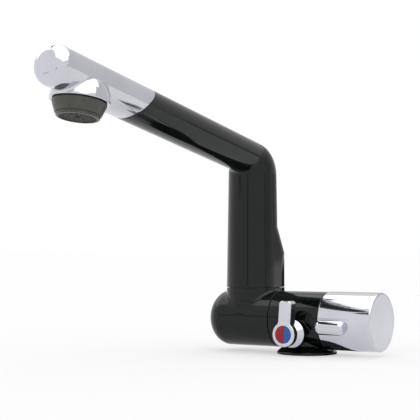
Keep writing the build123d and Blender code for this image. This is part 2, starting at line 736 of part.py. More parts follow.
# Outlet elbow inside the head: it turns the water down to the aerator
elbow_back_at = outlet_at - outlet_elbow_back
with BuildPart() as outlet_elbow:
    rod_between(across_arm, elbow_back_at, outlet_at + outlet_elbow_r, outlet_elbow_r)
    rod_between(across_outlet, 0, outlet_elbow_foot, outlet_elbow_r - slip_clearance)
    rod_between(across_outlet, outlet_elbow_foot - end_wall, outlet_elbow_foot,
                arm_bore_r - shell_wall / 2)
    rod_between(across_arm, elbow_back_at, elbow_back_at + adapter_socket_depth, water_pipe_r,
                Mode.SUBTRACT)
    rod_between(across_arm, elbow_back_at, outlet_at + water_pipe_bore_r, outlet_bore_r,
                Mode.SUBTRACT)
    rod_between(across_outlet, 0, outlet_elbow_foot, outlet_bore_r - slip_clearance, Mode.SUBTRACT)

# Rubber seal between the elbow and the aerator
with BuildPart() as aerator_seal:
    with BuildSketch(across_outlet(outlet_elbow_foot)):
        Circle(seal_r)
        Circle(seal_inner_r, mode=Mode.SUBTRACT)
    extrude(amount=insert_top - outlet_elbow_foot)

# Dark aerator housing: thread up into the skirt and a wide rim below it
with BuildPart() as aerator_housing:
    with BuildSketch(Plane(origin=across_outlet(0).origin, x_dir=(1, 0, 0), z_dir=arm_direction)):
        with BuildLine():
            Polyline(
                (insert_r + slip_clearance, -aerator_thread_top),
                (aerator_thread_r, -aerator_thread_top),
                (aerator_thread_r, -aerator_rim_top),
                (aerator_rim_r, -aerator_rim_top),
                (aerator_rim_step_r, -aerator_rim_step),
                (aerator_rim_foot_r, -aerator_rim_bottom),
                (insert_r + slip_clearance, -aerator_rim_bottom),
                close=True,
            )
        make_face()
    revolve(axis=Axis(across_outlet(0).origin, arm_up))

# Dark aerator insert: the drum below the rim, bored for the water
with BuildPart() as aerator_insert:
    rod_between(across_outlet, insert_top, insert_bottom, insert_r)
    foot_edge = aerator_insert.edges().filter_by(GeomType.CIRCLE).sort_by(Axis.Z)[0]
    chamfer(foot_edge, insert_edge)
    rod_between(across_outlet, insert_top, insert_bottom, insert_bore_r, Mode.SUBTRACT)
    screen_top = insert_bottom - screen_recess - screen_thickness
    rod_between(across_outlet, screen_top, insert_bottom, screen_r, Mode.SUBTRACT)

# Screen in the foot of the insert, with its small middle nub
with BuildPart() as aerator_screen:
    rod_between(across_outlet, screen_top, screen_top + screen_thickness, screen_r)
    for ring_number in range(1, 4):
        with BuildSketch(across_outlet(screen_top)):
            with PolarLocations(ring_number * screen_r / 4, 6 * ring_number):
                Circle(screen_hole_r)
        extrude(amount=screen_thickness, mode=Mode.SUBTRACT)
    rod_between(across_outlet, screen_top, screen_top + 2 * screen_thickness, screen_nub_r)

# Ceramic flow cartridge, screwed into the valve body
with BuildPart() as flow_cartridge:
    rod_between(across_barrel, cartridge_left_x, core_right_x, cartridge_r)
    with BuildSketch(across_barrel(core_right_x)):
        RegularPolygon(cartridge_hex_corner_r, 6)
    extrude(amount=cartridge_hex_width)
    rod_between(across_barrel, core_right_x, cartridge_neck_x, cartridge_neck_r)
    rod_between(across_barrel, flow_spindle_start_x - part_gap, cartridge_neck_x,
                flow_spindle_r + running_clearance, Mode.SUBTRACT)
    rod_between(across_barrel, cartridge_left_x, flow_spindle_start_x, chamber_r / 2, Mode.SUBTRACT)

# Spindle of the flow cartridge
insert_right_x = insert_disc_x + insert_disc_width
with BuildPart() as flow_spindle:
    rod_between(across_barrel, flow_spindle_start_x, insert_right_x, flow_spindle_r)
    rod_between(across_barrel, insert_right_x - knob_screw_length, insert_right_x, knob_screw_r,
                Mode.SUBTRACT)

# Plastic insert that carries the knob on its spindle
knob_cavity_r = knob_r - knob_wall
with BuildPart() as knob_insert:
    rod_between(across_barrel, insert_hub_x, insert_right_x, insert_hub_r)
    rod_between(across_barrel, insert_disc_x, insert_right_x, knob_cavity_r)
    rod_between(across_barrel, insert_hub_x, insert_right_x, flow_spindle_r, Mode.SUBTRACT)
    with BuildSketch(across_barrel(insert_disc_x)):
        with PolarLocations((insert_hub_r + knob_cavity_r) / 2, 6):
            Circle((knob_cavity_r - insert_hub_r) / 4)
    extrude(amount=insert_disc_width, mode=Mode.SUBTRACT)

# Screw that holds the insert on the spindle
with BuildPart() as knob_screw:
    rod_between(across_barrel, insert_right_x - knob_screw_length + 1, insert_right_x, knob_screw_r)
    with BuildSketch(across_barrel(insert_right_x)):
        Circle(flow_spindle_r + 1.4)
    extrude(amount=knob_screw_head_height)
    with BuildSketch(across_barrel(insert_right_x + knob_screw_head_height)):
        RegularPolygon(knob_screw_head_r / 2, 6)
    extrude(amount=-knob_screw_head_height / 2, mode=Mode.SUBTRACT)

# Chrome flow knob: a cup over the end of the barrel
knob_left_x = knob_seam_x + seam_gap / 2


def grip_pins(mode):
    """Two pins on the inside of the grip, or their holes in the knob."""
    to_barrel = Vector(0, -grip_y, barrel_axis_z - grip_z)
    reach = to_barrel.length - knob_r + grip_pin_depth
    for pin_x in (grip_start_x + grip_pin_inset, grip_end_x - grip_pin_inset):
        rod(Plane(origin=(pin_x, grip_y, grip_z), z_dir=to_barrel), grip_pin_r, reach, mode)


with BuildPart() as flow_knob:
    rod_between(across_barrel, knob_left_x, knob_end_x, knob_r)
    fillet(flow_knob.edges().filter_by(GeomType.CIRCLE).sort_by(Axis.X)[-1], knob_edge)
    chamfer(flow_knob.edges().filter_by(GeomType.CIRCLE).sort_by(Axis.X)[0], seam_chamfer)
    rod_between(across_barrel, knob_left_x, knob_end_x - knob_wall, knob_cavity_r, Mode.SUBTRACT)
    grip_pins(Mode.SUBTRACT)

# Round finger grip that lies along the knob
with BuildPart() as knob_grip:
    grip_plane = Plane(origin=(grip_start_x, grip_y, grip_z), x_dir=(0, 1, 0), z_dir=(1, 0, 0))
    rod(grip_plane, grip_r, grip_end_x - grip_start_x)
    fillet(knob_grip.edges().filter_by(GeomType.CIRCLE), grip_edge)
    rod_between(across_barrel, grip_start_x, grip_end_x, knob_r, Mode.SUBTRACT)
    grip_pins(Mode.ADD)

pieces = {
    "base_flange": base_flange,
    "base_gasket": base_gasket,
    "inlet_foot": inlet_foot,
    "foot_screws": foot_screws,
    "valve_body": valve_body,
    "middle_housing": middle_housing,
    "mixing_cartridge": mixing_cartridge,
    "lever_bezel": lever_bezel,
    "mixing_spindle": mixing_spindle,
    "mixing_lever": mixing_lever,
    "lever_screw": lever_screw,
    "hot_dot": hot_dot,
    "cold_dot": cold_dot,
    "fold_spindle": fold_spindle,
    "fold_orings": fold_orings,
    "fold_nut": fold_nut,
    "fold_washer": fold_washer,
    "fold_core": fold_core,
    "swivel_orings": swivel_orings,
    "swivel_clip": swivel_clip,
    "fold_barrel": fold_barrel,
    "end_cap": end_cap,
    "swivel_bush": swivel_bush,
    "pipe_adapter": pipe_adapter,
    "water_pipe": water_pipe,
    "spout_shell": spout_shell,
    "nozzle_head": nozzle_head,
    "outlet_elbow": outlet_elbow,
    "aerator_seal": aerator_seal,
    "aerator_housing": aerator_housing,
    "aerator_insert": aerator_insert,
    "aerator_screen": aerator_screen,
    "flow_cartridge": flow_cartridge,
    "flow_spindle": flow_spindle,
    "knob_insert": knob_insert,
    "knob_screw": knob_screw,
    "flow_knob": flow_knob,
    "knob_grip": knob_grip,
}

for label, piece in pieces.items():
    piece.part.label = label
    export_step(piece.part, f"parts/{label}.step")
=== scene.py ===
from math import cos, pi, radians, sin, sqrt, tan

import bmesh
import bpy
import numpy as np
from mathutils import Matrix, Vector


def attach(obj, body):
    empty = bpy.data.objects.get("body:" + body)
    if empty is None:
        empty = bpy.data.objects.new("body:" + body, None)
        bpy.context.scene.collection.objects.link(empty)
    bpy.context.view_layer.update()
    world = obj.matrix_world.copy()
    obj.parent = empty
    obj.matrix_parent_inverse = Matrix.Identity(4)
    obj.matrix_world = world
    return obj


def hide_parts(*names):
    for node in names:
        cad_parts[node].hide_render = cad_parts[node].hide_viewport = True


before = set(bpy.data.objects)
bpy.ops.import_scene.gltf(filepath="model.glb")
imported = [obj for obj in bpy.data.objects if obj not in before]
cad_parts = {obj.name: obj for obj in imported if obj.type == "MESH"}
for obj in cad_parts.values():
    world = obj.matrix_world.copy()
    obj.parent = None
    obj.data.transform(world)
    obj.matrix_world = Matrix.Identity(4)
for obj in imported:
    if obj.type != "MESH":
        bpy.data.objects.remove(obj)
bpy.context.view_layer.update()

# Sizes below are in millimetres and go to metres as a mesh is made.
# The barrel lies along X at barrelZ, the stem stands at stemX and the outlet points to -Y.
# An axis is its origin, its direction and the direction that angles are counted from.
metre = 0.001
barrelR = 20.0
barrelZ = 23.7
stemX = -44.35
leverZ = 15.3
deckAxis = ((0, 0, 0), (0, 0, 1), (1, 0, 0))
barrelAxis = ((0, 0, barrelZ), (1, 0, 0), (0, 1, 0))
leverAxis = ((0, 0, leverZ), (0, -1, 0), (1, 0, 0))
halvings = 34
# Points in one cell of 1/perMm of a millimetre are one, and so are points nearer than the distance in metres
weld = {"perMm": 2000, "distance": 2e-6}


# Vector divided by its own length.
def unit(v):
    v = np.asarray(v, float)
    return v / np.linalg.norm(v, axis=-1, keepdims=True)


# Rises from 0 at low to 1 at high along 3t^2 - 2t^3.
def smoothStep(low, high, x):
    t = np.clip((x - low) / (high - low), 0, 1)
    return t * t * (3 - 2 * t)


# Shares from 0: a geometric run from the first to the middle share, then even steps to the last.
def closeShares(first, middle, last, closeCount, evenCount):
    return np.concatenate([[0], np.geomspace(first, middle, closeCount),
                           np.linspace(middle, last, evenCount)[1:]])


# Last value that is inside between low and high, found by halving the span.
def lastInside(low, high, isInside):
    for _ in range(halvings):
        middle = (low + high) / 2
        inside = isInside(middle)
        low, high = np.where(inside, middle, low), np.where(inside, high, middle)
    return low


# Distance to both shapes joined by a fillet of radius r: r less the length of the two parts below r.
def roundUnion(a, b, r):
    inner = np.hypot(np.maximum(r - a, 0), np.maximum(r - b, 0))
    return np.maximum(r, np.minimum(a, b)) - inner


# Line through corners (along, radius, fillet): each fillet is a slerped arc tangent to both of its sides.
def roundedProfile(corners, step=1.2, arcSteps=8, support=0.12):
    spots = np.array([c[:2] for c in corners], float)
    fillets = [c[2] for c in corners[1:-1]]
    line = [spots[:1]]
    for here, before, after, fillet in zip(spots[1:-1], spots[:-2], spots[2:], fillets):
        back, on = unit(before - here), unit(after - here)
        if fillet == 0:
            line.append(here[None])
            continue
        half = np.arccos(np.clip(back @ on, -1, 1)) / 2
        reach = fillet / tan(half)
        centre = here + unit(back + on) * fillet / sin(half)
        first, last = here + back * reach - centre, here + on * reach - centre
        turn = pi - 2 * half
        t = np.linspace(0, 1, arcSteps + 1)[:, None]
        arc = centre + (np.sin((1 - t) * turn) * first + np.sin(t * turn) * last) / sin(turn)
        line.append(np.vstack([here + back * (reach + support), arc, here + on * (reach + support)]))
    line.append(spots[-1:])
    line = np.vstack(line)
    spans = np.linalg.norm(np.diff(line, axis=0), axis=1)
    cuts = np.maximum(1, np.ceil(spans / step)).astype(int)
    share = np.concatenate([np.arange(n) / n for n in cuts])
    which = np.repeat(np.arange(len(cuts)), cuts)
    filled = line[which] + share[:, None] * (line[which + 1] - line[which])
    return np.vstack([filled, line[-1:]])


# Corners of a plain collar: a rectangle between hole and radius, its outer edges with their own fillets.
def collarCorners(start, stop, hole, radius, startEdge=0, stopEdge=0):
    return [(start, hole, 0), (start, radius, startEdge), (stop, radius, stopEdge), (stop, hole, 0),
            (start, hole, 0)]


# Grid of a profile turned about an axis: origin + along*a + radius*(cos*u + sin*v).
def revolved(corners, axis, around=128, **spacing):
    origin, a, u = (np.array(v, float) for v in axis)
    v = np.cross(a, u)
    profile = roundedProfile(corners, **spacing)
    turn = np.linspace(0, 2 * pi, around + 1)
    ring = np.cos(turn)[:, None] * u + np.sin(turn)[:, None] * v
    return origin + profile[:, None, :1] * a + profile[:, None, 1:2] * ring


# Rings round a path: a ray from each centre along cos*u + sin*v ends where it meets field = 0.
def castRings(centres, u, v, angles, field, reach=90.0):
    rays = np.cos(angles)[None, :, None] * u[:, None] + np.sin(angles)[None, :, None] * v[:, None]
    centres = centres[:, None]
    run = lastInside(np.zeros(rays.shape[:2]), np.full(rays.shape[:2], reach),
                     lambda length: field(centres + length[..., None] * rays) < 0)
    return centres + run[..., None] * rays


# Moves points onto field = 0 along its slope, found by central differences.
def settle(points, field, rounds=6, small=0.01, flattest=0.2):
    for _ in range(rounds):
        slope = np.stack([field(points + small * e) - field(points - small * e) for e in np.eye(3)], -1)
        slope = slope / (2 * small)
        size = np.maximum((slope ** 2).sum(-1, keepdims=True), flattest)
        points = points - field(points)[..., None] * slope / size
    return points


# Rounds a rim: rows that turn from the wall to the flat face by a quarter circle.
def rimRows(ring, centre, drop, radius, steps=6):
    turn = np.linspace(0, pi / 2, steps + 1)[1:, None, None]
    toMiddle = unit(centre - ring)
    return ring + radius * ((1 - np.cos(turn)) * toMiddle + np.sin(turn) * np.array(drop, float))


# Joins point grids into one closed mesh, rides it on a CAD body and stands it for its node.
# Equal points are found by rounding to the weld's cells, and a face with two equal corners has three.
def addPiece(name, grids, body, slot, node, sharp=35):
    points, faces, first = [], [], 0
    for grid in grids:
        rows, columns = grid.shape[:2]
        index = first + np.arange(rows * columns).reshape(rows, columns)
        corners = [index[:-1, :-1], index[:-1, 1:], index[1:, 1:], index[1:, :-1]]
        faces.append(np.stack(corners, -1).reshape(-1, 4))
        points.append(grid.reshape(-1, 3))
        first += rows * columns
    points, faces = np.vstack(points) * metre, np.vstack(faces)
    cells = np.round(points / metre * weld["perMm"]).astype(np.int64)
    welded, index = np.unique(cells, axis=0, return_inverse=True)
    faces = index.reshape(-1)[faces]
    keep = np.zeros(len(welded), int)
    keep[index.reshape(-1)] = np.arange(len(points))
    points = points[keep]
    apart = faces != np.roll(faces, -1, axis=1)
    count = apart.sum(1)
    fours, threes = (faces[count == n][apart[count == n]].reshape(-1, n).tolist() for n in (4, 3))
    mesh = bpy.data.meshes.new(name)
    mesh.from_pydata(points.tolist(), [], fours + threes)
    work = bmesh.new()
    work.from_mesh(mesh)
    bmesh.ops.remove_doubles(work, verts=work.verts, dist=weld["distance"])
    bmesh.ops.recalc_face_normals(work, faces=work.faces)
    work.to_mesh(mesh)
    work.free()
    mesh.shade_smooth()
    mesh.set_sharp_from_angle(angle=radians(sharp))
    mesh.materials.append(finishes[slot])
    piece = bpy.data.objects.new(name, mesh)
    bpy.context.scene.collection.objects.link(piece)
    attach(piece, body)
    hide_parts(node)
    print("piece", name, len(mesh.polygons), "faces")


# sRGB hex to linear RGBA by the standard's own curve.
def colour(code):
    srgb = np.array([int(code[i:i + 2], 16) for i in (1, 3, 5)]) / 255
    linear = np.where(srgb <= 0.04045, srgb / 12.92, ((srgb + 0.055) / 1.055) ** 2.4)
    return (*linear.tolist(), 1.0)


# Adds one node; an input is a value or the socket that feeds it.
def addNode(material, kind, inputs=None, **settings):
    node = material.node_tree.nodes.new(kind)
    for key, value in settings.items():
        setattr(node, key, value)
    for key, value in (inputs or {}).items():
        if isinstance(value, bpy.types.NodeSocket):
            material.node_tree.links.new(value, node.inputs[key])
        else:
            node.inputs[key].default_value = value
    return node


# Switches on the nodes of a new material or world and clears them.
def emptied(owner):
    owner.use_nodes = True
    owner.node_tree.nodes.clear()
    return owner


# Noise of a real grain size in mm; its usual values, 0.3 to 0.7, are mapped to a range from low to high.
def mottled(material, place, size, low, high, detail=3.0):
    noise = addNode(material, "ShaderNodeTexNoise",
                    {"Vector": place, "Scale": 1 / (size * metre), "Detail": detail})
    return addNode(material, "ShaderNodeMapRange", {
        "Value": noise.outputs["Fac"], "From Min": 0.3, "From Max": 0.7, "To Min": low, "To Max": high,
    }).outputs[0]


# How many grains wide the patches of shade and of roughness are
patchGrains = {"shade": 9, "roughness": 4}


# Even coat: colour wanders between two shades, roughness and bump (deep in mm) follow the grain in mm.
def glossFinish(name, dark, pale, roughness, grain, bump, metallic=0.0, ior=1.5):
    material = emptied(bpy.data.materials.new(name))
    place = addNode(material, "ShaderNodeTexCoord").outputs["Object"]
    shade = mottled(material, place, grain * patchGrains["shade"], 0.0, 1.0)
    mix = addNode(material, "ShaderNodeMix", {"Factor": shade, 6: colour(dark), 7: colour(pale)},
                  data_type="RGBA")
    wave = mottled(material, place, grain, 0.0, 1.0, detail=2.0)
    raised = addNode(material, "ShaderNodeBump", {"Strength": 1.0, "Distance": bump * metre, "Height": wave})
    shader = addNode(material, "ShaderNodeBsdfPrincipled", {
        "Base Color": mix.outputs[2], "Metallic": metallic, "IOR": ior,
        "Roughness": mottled(material, place, grain * patchGrains["roughness"], *roughness),
        "Normal": raised.outputs["Normal"]})
    addNode(material, "ShaderNodeOutputMaterial", {"Surface": shader.outputs["BSDF"]})
    return material


finishes = {
    # Sprayed gloss lacquer: near black, its clear reflections waver with orange peel 2.2 mm apart.
    "black": glossFinish("blackGlossLacquer", "#0A0F0E", "#0E1412", (0.05, 0.09), 2.2, 0.0012, ior=1.37),
    # Plated chrome, polished: a clear, slightly cool mirror with polishing waves 2.8 mm apart.
    "chrome": glossFinish("polishedChromePlate", "#C6C7CE", "#CFD0D8", (0.05, 0.08), 2.8, 0.0008,
                          metallic=1.0),
    # Turned brass, unpolished: yellow metal with a soft sheen. Tool marks on brass and steel are 0.1 mm
    # apart in truth and are drawn 0.4 mm apart, so that they show.
    "brass": glossFinish("turnedBrass", "#B8934A", "#C9A55E", (0.28, 0.42), 0.4, 0.01, metallic=1.0),
    # Turned stainless steel: grey metal with a soft sheen.
    "steel": glossFinish("stainlessSteel", "#A9A9A6", "#B9B9B7", (0.25, 0.38), 0.4, 0.006, metallic=1.0),
    # Moulded nitrile rubber: dull black. The mould's texture on rubber and plastic is 0.1 mm in truth
    # and is drawn at 0.5 to 0.6 mm, so that it shows.
    "rubber": glossFinish("nitrileRubber", "#17181A", "#202124", (0.6, 0.8), 0.6, 0.02),
    # Moulded grey plastic: dark olive grey, half matt.
    "grey_plastic": glossFinish("aeratorPlastic", "#4A4C46", "#5A5B54", (0.3, 0.45), 0.5, 0.01, ior=1.46),
    # The same plastic where it is pierced: darker and matt, since light sinks into the holes.
    "screen": glossFinish("screenPlastic", "#33352F", "#3B3D37", (0.55, 0.7), 0.5, 0.01, ior=1.3),
    # Moulded acetal: off-white, half matt.
    "white_plastic": glossFinish("acetalPlastic", "#E4E3DD", "#ECEBE6", (0.35, 0.5), 0.6, 0.01, ior=1.48),
    # Red and blue enamel: full colour under a soft gloss.
    "hot_red": glossFinish("redEnamel", "#AD1D28", "#B52630", (0.1, 0.16), 1.2, 0.002, ior=1.36),
    "cold_blue": glossFinish("blueEnamel", "#3462AC", "#3E6CB6", (0.1, 0.16), 1.2, 0.002, ior=1.36),
}
print("finishes", len(finishes))

# Inner pieces keep their CAD shape and take the finish of their slot, or their own finish
ownFinish = {"aerator_screen": "screen"}
for node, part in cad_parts.items():
    slot = part.data.materials[0].name.split(".")[0]
    part.data.materials[0] = finishes[ownFinish.get(node, slot)]
print("inner pieces finished")

# Folding barrel and end cap, their axis along barrelAxis
barrel = {"seamLeft": -21.05, "capSeam": -65.5, "domeStart": -61.0, "domeDepth": 15.0, "wall": 2.2,
          "edge": 0.4, "seamBore": 12.0, "seamDeep": 1.6, "seamWallR": 17.8, "capLipR": 16.9,
          "capLipDeep": 4.0, "capOverlap": 0.2}
domeEnd = barrel["domeStart"] - barrel["domeDepth"]


# Radius of the barrel: a cylinder, then the quarter ellipse of the dome.
def domeRadius(x):
    deep = np.clip((barrel["domeStart"] - x) / barrel["domeDepth"], 0, 1)
    return barrelR * np.sqrt(1 - deep ** 2)


# Profile corners of the dome from x = start to its end, by even angles of its ellipse, drawn in by the inset.
def domeCorners(start, inset, count=40):
    deep = np.clip([(barrel["domeStart"] - x) / barrel["domeDepth"] for x in (start, domeEnd)], 0, 1)
    turn = np.linspace(*np.arcsin(deep), count)
    x = barrel["domeStart"] - (barrel["domeDepth"] - inset) * np.sin(turn)
    return [(px, pr, 0) for px, pr in zip(x, (barrelR - inset) * np.cos(turn))]


capOuter = domeCorners(barrel["capSeam"], 0)
capInner = domeCorners(barrel["capSeam"] - barrel["capOverlap"], barrel["wall"])
capSeam = (barrel["capSeam"], capInner[0][1], 0)
capGrid = revolved(capOuter[::-1] + [capSeam] + capInner, barrelAxis, around=160)
addPiece("endCap", [capGrid], "fold", "black", "end_cap")

# Middle housing: the barrel's fixed shell, a neck down into the flange and a boss for the lever
housing = {"left": -20.55, "right": 18.25, "edge": 0.4, "hole": 11.0, "wallR": 17.8, "lipEdge": 0.2,
           "endWall": 2, "neckFoot": 3.2, "neckTop": 14.0, "neckHole": 12.6, "neckR": 15.0, "neckEdge": 0.2,
           "bossBack": 10.0, "bossFront": 21.5, "bossHole": 7.8, "bossR": 8.8, "bossEdge": 0.15}
housingFloor = housing["left"] + housing["endWall"]
addPiece("middleHousing", [
    revolved([(housing["left"], housing["hole"], 0), (housing["left"], barrelR, housing["edge"]),
              (housing["right"], barrelR, housing["edge"]),
              (housing["right"], housing["wallR"], housing["lipEdge"]), (housingFloor, housing["wallR"], 0),
              (housingFloor, housing["hole"], 0), (housing["left"], housing["hole"], 0)],
             barrelAxis, around=192),
    revolved(collarCorners(housing["neckFoot"], housing["neckTop"], housing["neckHole"], housing["neckR"],
                           startEdge=housing["neckEdge"]), deckAxis),
    revolved(collarCorners(housing["bossBack"], housing["bossFront"], housing["bossHole"], housing["bossR"],
                           stopEdge=housing["bossEdge"]), leverAxis, around=96),
], "base", "black", "middle_housing")

# Deck flange: a low cone with a ledge inside, hollowed where the barrel passes over it
flange = {"radius": 21.2, "rim": 1.6, "topR": 15.6, "height": 6.0, "hole": 12.7, "neckHole": 15.1,
          "ledge": 3.2, "footEdge": 0.15, "rimEdge": 0.8, "topEdge": 0.3, "holeEdge": 0.1,
          "barrelClear": 20.7}
flangeGrid = revolved([
    (0, flange["hole"], 0), (0, flange["radius"], flange["footEdge"]),
    (flange["rim"], flange["radius"], flange["rimEdge"]),
    (flange["height"], flange["topR"], flange["topEdge"]),
    (flange["height"], flange["neckHole"], flange["holeEdge"]), (flange["ledge"], flange["neckHole"], 0),
    (flange["ledge"], flange["hole"], 0), (0, flange["hole"], 0)], deckAxis, around=192, step=0.35)
spare = flange["barrelClear"] ** 2 - flangeGrid[..., 1] ** 2
ceiling = np.where(spare > 0, barrelZ - np.sqrt(np.maximum(spare, 0)), flange["height"])
flangeGrid[..., 2] = np.minimum(flangeGrid[..., 2], ceiling)
addPiece("baseFlange", [flangeGrid], "base", "black", "base_flange")

# Folding barrel: a cylinder with a hole that the stub stands in, both cut from matched rings
stub = {"radius": 18.8, "reach": 9.2, "top": 45.6, "slopeFoot": (19.0, 23.7), "slopeTop": (28.0, 39.0),
        "edge": 0.15, "fillet": 1.8, "bore": 15.9, "boreFloor": 40.0, "pipeHole": 2.0, "sunk": 2.0}


# Round bar whose back is moved out: distance across to a line as long as the reach, less the radius.
def slotField(p, radius, reach):
    y = p[..., 1]
    return np.hypot(p[..., 0] - stemX, y - np.clip(y, 0, reach)) - radius


# Stub: the slot section, cut under its back along the slope.
def stubField(p):
    (y0, z0), (y1, z1) = stub["slopeFoot"], stub["slopeTop"]
    rise = unit([y1 - y0, z1 - z0])
    slope = (p[..., 1] - y0) * rise[1] - (p[..., 2] - z0) * rise[0]
    under = barrelZ - stub["sunk"] - p[..., 2]
    return np.maximum(np.maximum(slotField(p, stub["radius"], stub["reach"]), slope), under)


# Barrel: distance from its axis less its radius at that place.
def barrelField(p):
    return np.hypot(p[..., 1], p[..., 2] - barrelZ) - domeRadius(p[..., 0])


# Stub and barrel joined by a fillet.
def foldField(p):
    return roundUnion(stubField(p), barrelField(p), stub["fillet"])


# Wall of the stub from its top down to the barrel, each column straight down at one azimuth:
# top + share*(foot - top), where foot is the height at which the column meets the barrel.
def stubBand(shares, count=320, reach=60.0):
    turn = np.linspace(0, 2 * pi, count + 1)
    centre = np.array([stemX, stub["reach"] / 2, 0.0])
    ray = np.stack([np.cos(turn), np.sin(turn), 0 * turn], -1)

    def wallPoint(length, z):
        return centre + length[..., None] * ray + z[..., None] * np.array([0, 0, 1.0])

    def wallAt(z):
        length = lastInside(np.zeros(z.shape), np.full(z.shape, reach),
                            lambda s: stubField(wallPoint(s, z)) < 0)
        return wallPoint(length, z)

    bottom = lastInside(np.full(turn.shape, barrelZ), np.full(turn.shape, stub["top"]),
                        lambda z: barrelField(wallAt(z)) < 0)
    return np.stack([wallAt(stub["top"] + s * (bottom - stub["top"])) for s in shares])


# Even rows at first, then ever closer ones down to the foot
wallRows = stubBand(np.concatenate([np.linspace(0, 0.6, 9)[1:-1], 1 - np.geomspace(0.4, 0.012, 16), [1.0]]))
foot = wallRows[-1]


# Half of the barrel: straight lines over its (x, angle) map from half of the stub's foot to the end ring.
def barrelSide(sign, endX, shares, backCount=160):
    side = foot[:-1][(sign * (foot[:-1, 0] - stemX)) > -1e-9]  # both halves keep the middle line
    order = np.argsort(np.arctan2(side[:, 1] - stub["reach"] / 2, sign * (side[:, 0] - stemX)))
    side = side[order]
    sideTurn = np.arctan2(side[:, 1], side[:, 2] - barrelZ)
    backTurn = np.linspace(sideTurn[-1], 2 * pi + sideTurn[0], backCount)[1:]
    innerTurn = np.concatenate([sideTurn, backTurn])
    innerX = np.concatenate([side[:, 0], np.full(len(backTurn), stemX)])
    evenTurn = sideTurn[0] + 2 * pi * np.linspace(0, 1, len(innerTurn))
    outerTurn = (evenTurn + innerTurn) / 2
    share = shares[:, None]
    turn = innerTurn + share * (outerTurn - innerTurn)
    x = innerX + share * (endX - innerX)
    radius = domeRadius(x)
    return np.stack([x, radius * np.sin(turn), barrelZ + radius * np.cos(turn)], -1)


sideShares = np.append(closeShares(0.012, 0.35, 0.985, 16, 22), 1.0)
rightSide = barrelSide(1, barrel["seamLeft"] - barrel["edge"], sideShares)
leftSide = barrelSide(-1, barrel["capSeam"], sideShares)


# Rings about a centre from pairs (move along the axis, radius): centre + move*axis + radius*spoke.
def spokeRings(centre, spokes, axis, pairs):
    return np.stack([centre + move * np.array(axis, float) + radius * spokes for move, radius in pairs])


# Rim of the seam beside the housing, and a short way into the barrel
seamRing = rightSide[-1]
seamCentre = np.array([barrel["seamLeft"] - barrel["edge"], 0, barrelZ])
seamRim = rimRows(seamRing, seamCentre, (1, 0, 0), barrel["edge"])
seamInner = spokeRings(seamCentre, unit(seamRing - seamCentre), (1, 0, 0), (
    (barrel["edge"], barrel["seamBore"]), (-barrel["seamDeep"], barrel["seamBore"]),
    (-barrel["seamDeep"], barrel["seamWallR"])))
capRing = leftSide[-1]
capCentre = np.array([barrel["capSeam"], 0, barrelZ])
capInnerRings = spokeRings(capCentre, unit(capRing - capCentre), (1, 0, 0), (
    (0, barrel["capLipR"]), (barrel["capLipDeep"], barrel["capLipR"])))

# Top rim of the stub, flat top and bore
topZ = stub["top"] - stub["edge"]
topRing = wallRows[0] * np.array([1, 1, 0]) + np.array([0, 0, topZ])
topRim = rimRows(topRing, np.array([stemX, stub["reach"] / 2, topZ]), (0, 0, 1), stub["edge"])
boreSpokes = unit((topRing - np.array([stemX, 0, topZ])) * np.array([1, 1, 0]))
boreRings = spokeRings(np.array([stemX, 0, 0]), boreSpokes, (0, 0, 1), (
    (stub["top"], stub["bore"]), (stub["boreFloor"], stub["bore"]), (stub["boreFloor"], stub["pipeHole"])))

outerGrids = [settle(g, foldField) for g in (wallRows, rightSide, leftSide)]
outerGrids[0][0] = wallRows[0]
outerGrids[1][-1] = rightSide[-1]
outerGrids[2][-1] = leftSide[-1]
addPiece("foldBarrel", [
    np.concatenate([topRim[::-1], topRing[None], outerGrids[0]]),
    outerGrids[1], outerGrids[2],
    np.concatenate([seamRing[None], seamRim, seamInner]),
    np.concatenate([capRing[None], capInnerRings]),
    np.concatenate([topRim[-1:], boreRings]),
], "fold", "black", "fold_barrel")

# Spout shell: rings up the stem, round the elbow on a pivot under it, and out along the arm
spout = {"bottom": 46.1, "footR": 18.75, "topR": 17.45, "straightTop": 127.0, "domeHeight": 24.1,
         "elbowZ": 138.35, "rise": radians(10.6), "armR": 12.85, "armBore": 10.65, "bore": 15.9, "wall": 2.2,
         "innerTop": 120, "reach": 9.2, "reachTop": 9.9, "reachZ": 70.5, "reachEnd": 89.0, "reachFade": 0.6,
         "swellLip": 0.4, "fillet": 2.4, "filletLeast": 0.25, "fadeFrom": 9, "fadeTo": -3, "edge": 0.15,
         "cutAt": 149.5, "cutSlope": 0.89, "cutGap": 0.15, "cutEdge": 0.25, "pivotY": -21.5, "pivotZ": 124.6,
         "bendOut": 5, "lipDepth": 0.38, "lipShare": 0.6}
# Ring heights up the stem as runs of (first, last, count), closest at the two heights where its back turns
stemRuns = [(47.5, 69.8, 12), (70.2, 72, 5), (73, 88.4, 12), (88.8, 89.0, 2), (89.15, 89.3, 2),
            (89.6, 89.6, 1), (90.5, 124, 22)]
spoutCounts = {"around": 192, "bend": 96, "arm": 90, "innerStem": 14, "innerBend": 24, "innerArm": 12}
armAlong = np.array([0, -cos(spout["rise"]), sin(spout["rise"])])
armUp = np.array([0, sin(spout["rise"]), cos(spout["rise"])])
elbow = np.array([stemX, 0, spout["elbowZ"]])
cutHalfGap = spout["cutGap"] / 2 * sqrt(1 + spout["cutSlope"] ** 2)


# How far the back of the stem is moved out at a height: straight lines between four heights.
def stemReach(z):
    heights = [spout["bottom"], spout["reachZ"], spout["reachEnd"], spout["reachEnd"] + spout["reachFade"]]
    return np.interp(z, heights, [spout["reach"], spout["reachTop"], spout["swellLip"], 0.0])


